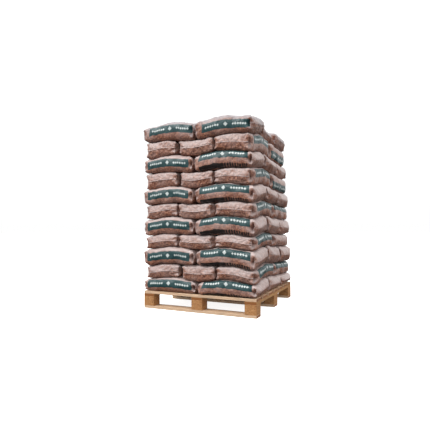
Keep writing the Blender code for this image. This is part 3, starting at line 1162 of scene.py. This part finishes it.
@dataclass
class SackLoad:
    """Eleven layers of six sacks, each layer crossing the one below it."""

    film: PelletFilm = PelletFilm(crumple=0.35)
    reverse: PelletFilm = PelletFilm(bands=PrintedBands(has_black=False))
    # The top layer's film has a blue grey haze colour: a painted reflection of the sky on its tops, mixed
    # over its milky patches.
    sky_sheen_film: PelletFilm = PelletFilm(bands=PrintedBands(has_black=False), haze_and_sheen="#a3a4a9")
    sack: FilmSack = field(default_factory=FilmSack)
    press: SackPress = field(default_factory=SackPress)
    fills: tuple[Fill, ...] = (
        Fill(seed=1, excess=0.02, gather=0.10, pressure=4.0, compression=5.0, bending=0.3, unevenness=0.0018),
        Fill(seed=2, excess=0.04, gather=0.14, pressure=6.0, compression=5.0, bending=0.1, unevenness=0.0020),
        Fill(seed=3, excess=0.03, gather=0.18, pressure=3.0, compression=2.0, bending=0.3, unevenness=0.0025),
        Fill(seed=4, excess=0.03, gather=0.15, pressure=5.0, compression=4.0, bending=0.2, unevenness=0.0025),
    )
    deck_top: float = 0.144
    edge_set_in: float = 0.034
    lengthwise_reach: float = 0.512
    crosswise_reach: float = 0.502
    top_drawn_in: float = 0.040
    top_reach: float = 0.014
    layer_tops: tuple[float, ...] = (
        0.270, 0.377, 0.522, 0.623, 0.769, 0.877, 1.021, 1.138, 1.282, 1.402, 1.560,
    )
    # Where the sacks of each layer part, as places along the front.
    parting_x: tuple[tuple[float, ...], ...] = (
        (0.001,), (-0.160, 0.161), (-0.011,), (-0.173, 0.154), (-0.019,), (-0.172, 0.155),
        (-0.018,), (-0.176, 0.148), (-0.026,), (-0.185, 0.149), (-0.016,),
    )
    lengthwise_parting_y: tuple[float, ...] = (0.333, 0.667)
    crosswise_parting_y: tuple[float, ...] = (0.500,)
    parting_gap: float = 0.004
    inset_range: tuple[float, float] = (-0.004, 0.003)
    end_fall: float = 0.028
    middle_fall: float = 0.028
    lowest_crosswise_end_fall: float = 0.030
    highest_crosswise_middle_fall: float = 0.024
    sack_middles: tuple[float, float] = (0.163, 0.826)
    half_sack: float = 0.25
    side_rise: tuple[tuple[float, float], ...] = ((0.0, 0.0), (0.30, 0.034), (0.55, 0.012), (1.0, -0.004))
    left_share: float = 0.45
    wobble: float = 0.0025
    top_crown: float = 0.010
    sunken_set_in: float = 0.026
    sunken_depth: float = 0.024
    shaping: dict[Lay, Shaping] = field(
        default_factory=lambda: {
            Lay.LENGTHWISE: Shaping(
                corner_sharpness=(0.6, 0.0, 0.1),
                crispness=0.1,
                gable=0.012,
                weld_depth=0.002,
                shoulders=(0.014, 0.004),
                corner_fold=0.0,
            ),
            Lay.CROSSWISE: Shaping(
                corner_sharpness=(0.7, 0.35, 0.15),
                crispness=0.45,
                gable=0.001,
                weld_depth=0.005,
                shoulders=(0.006, 0.005),
                corner_fold=0.022,
            ),
        }
    )
    corner_reach: float = 0.030
    crisp_reach: float = 0.040
    crisp_radius: float = 0.024
    tuck_depth: float = 0.050
    neighbour_tuck: float = 0.3
    left_tuck: float = 0.15
    tuck_run: float = 0.028
    tuck_start: float = 0.004
    fold_depth: float = 0.02
    fold_width: float = 0.005
    top_gable: float = 0.008
    gable_run: float = 0.045
    inner_wedge: float = 0.006
    outer_wedge: float = 0.007
    top_wedge: float = 0.018
    taut_seam: float = 0.8
    top_slide: float = 0.028
    crosswise_slide: float = 0.030
    corner_fold_run: float = 0.045
    right_roll: float = 0.040
    front_roll: float = 0.024
    left_rolls: tuple[float, ...] = (0.014, 0.006, 0.012, 0.012, 0.002, 0.020)
    back_rolls: tuple[float, ...] = (0.045, 0.100, 0.050, -0.030, -0.030)
    roll_spread: tuple[float, float] = (-0.004, 0.004)
    shoulder_run: float = 0.22
    top_shoulders: tuple[float, float] = (0.004, 0.002)
    underside_share: float = 0.5
    waist: float = 0.002
    waist_wavelength: float = 0.16

    def lay(self, index: int) -> Lay:
        """Tells the way that a layer lies, from its place in the stack."""
        return Lay.LENGTHWISE if index % 2 == 0 else Lay.CROSSWISE

    def faces(self, index: int) -> tuple[float, float, float, float]:
        """Finds how far a layer reaches.

        Args:
            index: The layer's place in the stack, from 0.

        Returns:
            Its left, right, front and back faces.
        """
        reach = self.lengthwise_reach if self.lay(index) is Lay.LENGTHWISE else self.crosswise_reach
        drawn_in = self.top_drawn_in * (index / (len(self.layer_tops) - 1)) ** 2
        return -reach, reach - drawn_in, -reach, reach - drawn_in

    def fall(self, index: int) -> tuple[tuple[float, float], ...]:
        """Finds how a layer's top falls along its front.

        Args:
            index: The layer's place in the stack, from 0.

        Returns:
            Pairs of a place, as a fraction of the front, and a height below the highest point.
        """
        left, right, _, _ = self.faces(index)
        partings = [(x - left) / (right - left) for x in self.parting_x[index]]
        if self.lay(index) is Lay.LENGTHWISE:
            halfway, corner, middle = partings[0], self.end_fall, self.middle_fall
            peaks = (halfway - self.half_sack, halfway + self.half_sack)
        else:
            share = index / (len(self.layer_tops) - 1)
            halfway = sum(partings) / 2
            corner = self.lowest_crosswise_end_fall * (1 - share)
            middle = self.highest_crosswise_middle_fall * share
            peaks = self.sack_middles
        return (0.0, -corner), (peaks[0], 0.0), (halfway, -middle), (peaks[1], 0.0), (1.0, -corner)

    def contact_over(self, index: int) -> Contact:
        """Makes the surface on top of a layer, or the deck for the index -1.

        Args:
            index: The layer's place in the stack.

        Returns:
            The surface.
        """
        above = min(index + 1, len(self.layer_tops) - 1)
        pairs = list(zip(self.faces(max(index, 0)), self.faces(above), (1, -1, 1, -1), strict=True))
        edges = [(low + high) / 2 + side * self.edge_set_in for low, high, side in pairs]
        if index < 0:
            level = ((0.0, 0.0), (1.0, 0.0))
            return Contact(*edges, self.deck_top, fall=level, rise=level, left_share=1.0, seed=0, wobble=0.0)
        top, fall = self.layer_tops[index], self.fall(index)
        return Contact(*edges, top, fall, self.side_rise, self.left_share, seed=index, wobble=self.wobble)

    def roll(self, index: int, row: str, column: str) -> float:
        """Tells how far round the sack its green band sits, above the middle of the free long side.

        Args:
            index: The layer's place in the stack.
            row: The sack's row.
            column: The sack's column.

        Returns:
            The distance in metres.
        """
        if self.lay(index) is Lay.LENGTHWISE:
            if column == "left":
                return self.left_rolls[index // 2]
            return 0.0 if index == len(self.layer_tops) - 1 else self.right_roll
        return self.front_roll if row == "front" else self.back_rolls[index // 2]

    def slide(self, index: int, row: str) -> float:
        """Tells how far along the sack, to its reader's right, its print sits off the middle.

        Args:
            index: The layer's place in the stack.
            row: The sack's row.

        Returns:
            The distance in metres.
        """
        if index == len(self.layer_tops) - 1:
            return self.top_slide
        return self.crosswise_slide if self.lay(index) is Lay.CROSSWISE and row == "front" else 0.0

    def slots(self, index: int) -> list[Slot]:
        """Shares a layer's room out between its six sacks.

        Args:
            index: The layer's place in the stack.

        Returns:
            The sacks' places.
        """
        lay = self.lay(index)
        left, right, front, back = self.faces(index)
        fractions = self.lengthwise_parting_y if lay is Lay.LENGTHWISE else self.crosswise_parting_y
        lines_x = [left, *self.parting_x[index], right]
        lines_y = [front, *(front + (back - front) * share for share in fractions), back]
        columns = ("left", "right") if lay is Lay.LENGTHWISE else ("left", "middle", "right")
        rows = ("front", "middle", "back") if lay is Lay.LENGTHWISE else ("front", "back")
        is_top = index == len(self.layer_tops) - 1
        outward = {"left": -1, "front": -1, "right": 1, "back": 1, "middle": 0}
        found = []
        for (row, (y1, y2)), (column, (x1, x2)) in itertools.product(
            zip(rows, itertools.pairwise(lines_y), strict=True),
            zip(columns, itertools.pairwise(lines_x), strict=True),
        ):
            seed = 1000 + 10 * index + len(found)
            random = np.random.default_rng(seed)
            half_gap = self.parting_gap / 2
            inset = random.uniform(*self.inset_range, 4)
            low = [x1 + (inset[0] if outward[column] == -1 else half_gap)]
            low.append(y1 + (inset[1] if outward[row] == -1 else half_gap))
            high = [x2 - (inset[2] if outward[column] == 1 else half_gap)]
            high.append(y2 - (inset[3] if outward[row] == 1 else half_gap))
            end, side = outward[column], outward[row]
            if lay is Lay.CROSSWISE:
                end, side = side, end
            set_in = is_top and row == "middle" and column == "right"
            if set_in:
                high[0] -= self.sunken_set_in
            if is_top and row == "front" and column == "right":
                high[0] += self.top_reach
            found.append(
                Slot(
                    name=f"sack_{index + 1:02d}_{row}_{column}",
                    lay=lay,
                    low=tuple(low),
                    high=tuple(high),
                    outer_end=end,
                    outer_side=side or int(random.choice((-1, 1))),
                    roll=self.roll(index, row, column) + float(random.uniform(*self.roll_spread)),
                    crown=self.top_crown if is_top else 0.0,
                    sunk=self.sunken_depth if set_in else 0.0,
                    seed=seed,
                    free_side=side != 0,
                    slide=self.slide(index, row),
                    shows_black=column == "right" and lay is Lay.LENGTHWISE and not is_top,
                )
            )
        return found

    def tucks(self, slot: Slot) -> np.ndarray:
        """Finds how deep the gussets are tucked in at the ends of the long sides.

        Args:
            slot: The sack's place, whose seed picks how deep each tuck is.

        Returns:
            The depth at each of the sack's points.
        """
        random = np.random.default_rng(slot.seed + 5)
        a, b, c = self.sack.shell().shares.T
        from_end = (1 - np.abs(a)) * self.sack.length / 2
        run = np.exp(-((from_end / self.tuck_run) ** 2)) * (1 - np.exp(-from_end / self.tuck_start))
        mouth = np.clip(1 - np.abs(c) / (0.25 + 0.6 * np.exp(-from_end / self.tuck_run)), 0, 1)
        depth = np.zeros(len(a))
        for end, side in itertools.product((-1, 1), (-1, 1)):
            share = 1.0 if side > 0 and slot.free_side else self.neighbour_tuck
            if slot.lay is Lay.LENGTHWISE and end * slot.outer_end < 0:
                share *= self.left_tuck
            depth[(b == side) & (np.sign(a) == end)] = share * self.tuck_depth * random.uniform(0.5, 1.0)
        return depth * run * mouth

    def folds(self, slot: Slot) -> np.ndarray:
        """Finds the film's folds, whose tucks the film's material darkens with painted shade.

        Args:
            slot: The sack's place.

        Returns:
            For each point, 1 deep in a tuck, -1 along an empty corner, and 0 elsewhere.
        """
        a, b, _ = np.abs(self.sack.shell().shares.T)
        from_corner = np.hypot((1 - a) * self.sack.length, (1 - b) * self.sack.width) / 2
        in_tuck = np.clip(self.tucks(slot) / self.fold_depth, 0, 1)
        return in_tuck - np.exp(-((from_corner / self.fold_width) ** 2))

    def shape_ends(self, points: np.ndarray, slot: Slot) -> np.ndarray:
        """Squares the corners, creases the ends at their welds, and tucks the gussets in beside them.

        Args:
            points: The pressed sack's points.
            slot: Its place.

        Returns:
            The points, moved.
        """
        shaping = self.shaping[slot.lay]
        a, b, c = self.sack.shell().shares.T
        from_end = (1 - np.abs(a)) * self.sack.length / 2
        crisp = shaping.crispness * np.exp(-((from_end / self.crisp_reach) ** 2))
        points = points + crisp[:, None] * (0, 0.6, 1) * (self.plain_block() - points)
        low, high = self.press.limits()
        for (i, j), strength in zip(((0, 1), (0, 2), (1, 2)), shaping.corner_sharpness, strict=True):
            core = np.clip(points, low + self.corner_reach, high - self.corner_reach)
            out = points - core
            longest = np.maximum(np.maximum(np.abs(out[:, i]), np.abs(out[:, j])), 1e-9)
            stretch = 1 + strength * (np.hypot(out[:, i], out[:, j]) / longest - 1)
            at_corner = (out[:, i] != 0) & (out[:, j] != 0)
            for axis in (i, j):
                points[:, axis] = np.where(at_corner, core[:, axis] + out[:, axis] * stretch, points[:, axis])
        crease = (1 - np.abs(c)) - 0.55 * (1 - c * c)
        outer_wedge = self.top_wedge if slot.crown else self.outer_wedge
        for side, wedge in ((-1, self.inner_wedge), (1, outer_wedge)):
            points[:, 0] += np.where(a == side, side * wedge * crease * (1 - b**8), 0.0)
            # The weld pulls the film's middle straight.
            seam = (a == side) & (np.abs(c) < 1e-6)
            bow = np.interp(b, b[seam], points[seam, 2] - points[seam, 2].mean())
            pull = self.taut_seam * (1 - np.abs(c)) * np.exp(-((from_end / self.crisp_reach) ** 2))
            points[:, 2] -= np.where(np.sign(a) == side, pull * bow, 0.0)
        gable = self.top_gable if slot.crown else shaping.gable
        points[:, 0] -= np.sign(a) * gable * np.abs(c) ** 1.5 * np.exp(-((from_end / self.gable_run) ** 2))
        points[:, 1] -= b * self.tucks(slot)
        # At the ends of crosswise sacks, the gussets' outer corners are folded in.
        inward = np.clip(1 - from_end / self.corner_fold_run, 0, 1) * np.clip((b - 0.5) / 0.5, 0, 1)
        points[:, 1] -= shaping.corner_fold * inward
        return points

    def place(self, points: np.ndarray, slot: Slot, under: Contact, over: Contact) -> np.ndarray:
        """Fits a pressed sack's points into its place between two contact surfaces.

        Args:
            points: The pressed points.
            slot: The sack's place.
            under: The surface that it lies on.
            over: The surface that lies on it.

        Returns:
            The points in the frame.
        """
        a, b, c = self.press.shares(points).T
        end, side = a.copy(), b.copy()
        a, b = a * slot.outer_end, b * slot.outer_side
        if slot.lay is Lay.CROSSWISE:
            a, b = b, a
        x = (slot.low[0] + slot.high[0]) / 2 + (slot.high[0] - slot.low[0]) / 2 * a
        y = (slot.low[1] + slot.high[1]) / 2 + (slot.high[1] - slot.low[1]) / 2 * b
        low, high = under.height(x, y), over.height(x, y) - slot.sunk
        # The film stands off its neighbours at its ends, where less lies in it.
        to_end = np.clip((np.abs(end) - 1 + self.shoulder_run) / self.shoulder_run, 0, 1) ** 2
        to_side = np.clip((np.abs(side) - 1 + self.shoulder_run) / self.shoulder_run, 0, 1) ** 2
        end_drop, side_drop = self.top_shoulders if slot.crown else self.shaping[slot.lay].shoulders
        high -= end_drop * to_end + side_drop * to_side + slot.crown * np.abs(side) ** 2.2
        low += self.underside_share * (end_drop * to_end + side_drop * to_side)
        z = low + (high - low) * (c + 1) / 2
        placed = np.stack((x, y, z), -1)
        free = 1 - np.clip(np.abs(c), 0, 1) ** 2
        for axis, share in ((0, a), (1, b)):
            outer = np.clip((np.abs(share) - 0.6) / 0.4, 0, 1)
            uneven = 1 + ripple(placed, slot.seed + axis, self.waist_wavelength)
            placed[:, axis] -= np.sign(share) * outer * free * self.waist * uneven
        return placed

    def build_sack(self, points: np.ndarray, slot: Slot, under: Contact, over: Contact) -> Mesh:
        """Makes one sack's mesh.

        Args:
            points: The pressed sack's points.
            slot: Its place.
            under: The surface that it lies on.
            over: The surface that lies on it.

        Returns:
            The mesh, with its place on the flat film as a UV map and its folds as an attribute.
        """
        shaped = self.shape_ends(points, slot)
        welds = self.sack.welds(shaped, self.shaping[slot.lay].weld_depth, slot.seed)
        placed = self.place(np.concatenate([shaped, *(weld[0] for weld in welds)]), slot, under, over)
        starts = np.cumsum([len(shaped)] + [len(weld[0]) for weld in welds])
        faces = np.concatenate(
            [self.sack.shell().faces, *(weld[1] + start for weld, start in zip(welds, starts, strict=False))]
        )
        places = np.concatenate([self.sack.film_places(placed[: len(shaped)]), *(weld[2] for weld in welds)])
        folds = np.full(len(placed), -1.0)
        folds[: len(shaped)] = self.folds(slot)
        handed = slot.outer_end * slot.outer_side * (1 if slot.lay is Lay.LENGTHWISE else -1)
        if handed < 0:
            faces, places = faces[:, ::-1], places[:, ::-1]
        mesh = new_mesh(slot.name, placed.tolist(), faces.tolist())
        # Seen from outside, the print reads from left to right.
        flat = places.reshape(-1, 2) * (-handed, 1.0) - (slot.slide, slot.roll)
        mesh.uv_layers.new(name="sheet").data.foreach_set("uv", flat.astype(np.float32).ravel())
        mesh.attributes.new("fold", "FLOAT", "POINT").data.foreach_set("value", folds.astype(np.float32))
        mesh.polygons.foreach_set("use_smooth", [True] * len(mesh.polygons))
        mesh.update()
        return mesh

    def plain_block(self) -> np.ndarray:
        """Makes the plain block that a sack would fill its place with, for the crisp folds at its ends.

        Returns:
            The points of its shell.
        """
        low, high = self.press.limits()
        scale = (high - low) / (self.sack.length, self.sack.width, self.sack.height)
        return replace(self.sack, long_edge_radius=self.crisp_radius).block(scale, 0.0) + (low + high) / 2

    def shapes(self) -> list[np.ndarray]:
        """Makes the different filled sacks that the load is stacked from.

        Returns:
            The points of their surfaces.
        """
        return self.press.run(self.sack, self.fills)
        return [self.plain_block() for _ in self.fills]

    def build(self) -> None:
        """Builds every sack, each standing for its layer's solid."""
        film, reverse = self.film.make("pellet_film"), self.reverse.make("pellet_film_reverse")
        # The top layer's film carries a blue grey painted sky sheen.
        sky_sheen_film = self.sky_sheen_film.make("pellet_film_sky_sheen")
        shapes = self.shapes()
        under = self.contact_over(-1)
        for index in range(len(self.layer_tops)):
            over = self.contact_over(index)
            for slot in self.slots(index):
                shape = shapes[(slot.seed * 7 + slot.seed // 10) % len(shapes)]
                mesh = self.build_sack(shape, slot, under, over)
                finish = sky_sheen_film if slot.crown else film if slot.shows_black else reverse
                piece = add_piece(slot.name, mesh, finish)
                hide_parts(f"sack_layer_{index + 1:02d}")
                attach(piece, BODY)
            LOG.info("layer %d: six sacks, %s", index + 1, self.lay(index).value)
            under = over


# Studio


@dataclass
class Studio:
    """A pale floor, soft light and the camera."""

    floor_half: float = 30.0
    camera_place: tuple[float, float, float] = (1.46856, -3.27350, 0.69444)
    yaw: float = -0.439323
    pitch: float = 0.0254866
    roll: float = -0.0051175
    focal_length: float = 393.783
    frame_width: float = 430.0
    sensor: float = 36.0
    horizon: float = 1.0
    overhead: float = 1.6
    ground: float = 0.13
    key_place: tuple[float, float, float] = (-4.2, -6.2, 8.6)
    key_aim: tuple[float, float, float] = (0.0, 0.0, 0.8)
    key_size: float = 4.0
    key_power: float = 620.0

    def build_floor(self) -> None:
        """Makes the floor under the pallet."""
        reach = self.floor_half
        corners = [(-reach, -reach, 0.0), (reach, -reach, 0.0), (reach, reach, 0.0), (-reach, reach, 0.0)]
        mesh = new_mesh("floor", corners, [(0, 1, 2, 3)])
        floor = add_piece("floor", mesh, WhiteBoard().make("white_board"))
        # The load was lit as over dark ground, so the white floor throws no light back up at it.
        floor.visible_diffuse = floor.visible_glossy = False

    def build_light(self) -> None:
        """Makes an even white sky and one large soft lamp, high at the front left."""
        world = bpy.data.worlds.new("studio")
        bpy.context.scene.world = world
        world.use_nodes = True
        tree = world.node_tree
        tree.nodes.clear()
        way = add_node(tree, "TexCoord", out="Generated")
        height = add_node(tree, "SeparateXYZ", {"Vector": way}, "Z")
        sky = add_node(tree, "MapRange", {"Value": height, "To Min": self.horizon, "To Max": self.overhead})
        # The horizon's white reaches a little below level, to meet the far edge of the floor.
        below = {"From Min": -0.10, "From Max": -0.07, "To Min": self.ground, "To Max": sky}
        lit = add_node(tree, "MapRange", {"Value": height} | below)
        white = add_node(tree, "Background", {"Color": "#ffffff", "Strength": lit})
        add_node(tree, "OutputWorld", {"Surface": white})
        lamp = bpy.data.lights.new("key", "AREA")
        configure(lamp, shape="DISK", size=self.key_size, energy=self.key_power)
        key = add_object("key", lamp)
        key.location = self.key_place
        key.rotation_euler = (Vector(self.key_aim) - key.location).to_track_quat("-Z", "Y").to_euler()

    def build_camera(self) -> None:
        """Puts the camera where the photographer stood."""
        data = bpy.data.cameras.new("camera")
        configure(data, sensor_width=self.sensor, lens=self.focal_length / self.frame_width * self.sensor)
        camera = add_object("camera", data)
        flat = math.cos(self.pitch)
        forward = Vector((math.sin(self.yaw) * flat, math.cos(self.yaw) * flat, math.sin(self.pitch)))
        level = Vector((math.cos(self.yaw), -math.sin(self.yaw), 0.0))
        upward = level.cross(forward)
        right = level * math.cos(self.roll) + upward * math.sin(self.roll)
        up = upward * math.cos(self.roll) - level * math.sin(self.roll)
        turn = Matrix((right, up, -forward)).transposed()
        camera.matrix_world = Matrix.Translation(self.camera_place) @ turn.to_4x4()
        bpy.context.scene.camera = camera

    def build(self) -> None:
        """Builds the whole studio."""
        self.build_floor()
        self.build_light()
        self.build_camera()
        bpy.context.scene.view_settings.view_transform = "Standard"
        LOG.info("studio: floor, light and camera")


def main() -> None:
    """Builds the pallet's finish, the sacks and the studio."""
    logging.basicConfig(level=logging.INFO, format="%(name)s: %(message)s", stream=sys.stdout)
    Studio().build()
    pallet = Pallet()
    pallet.dress()
    pallet.build_nails()
    SackLoad().build()


if __name__ == "__main__":
    main()
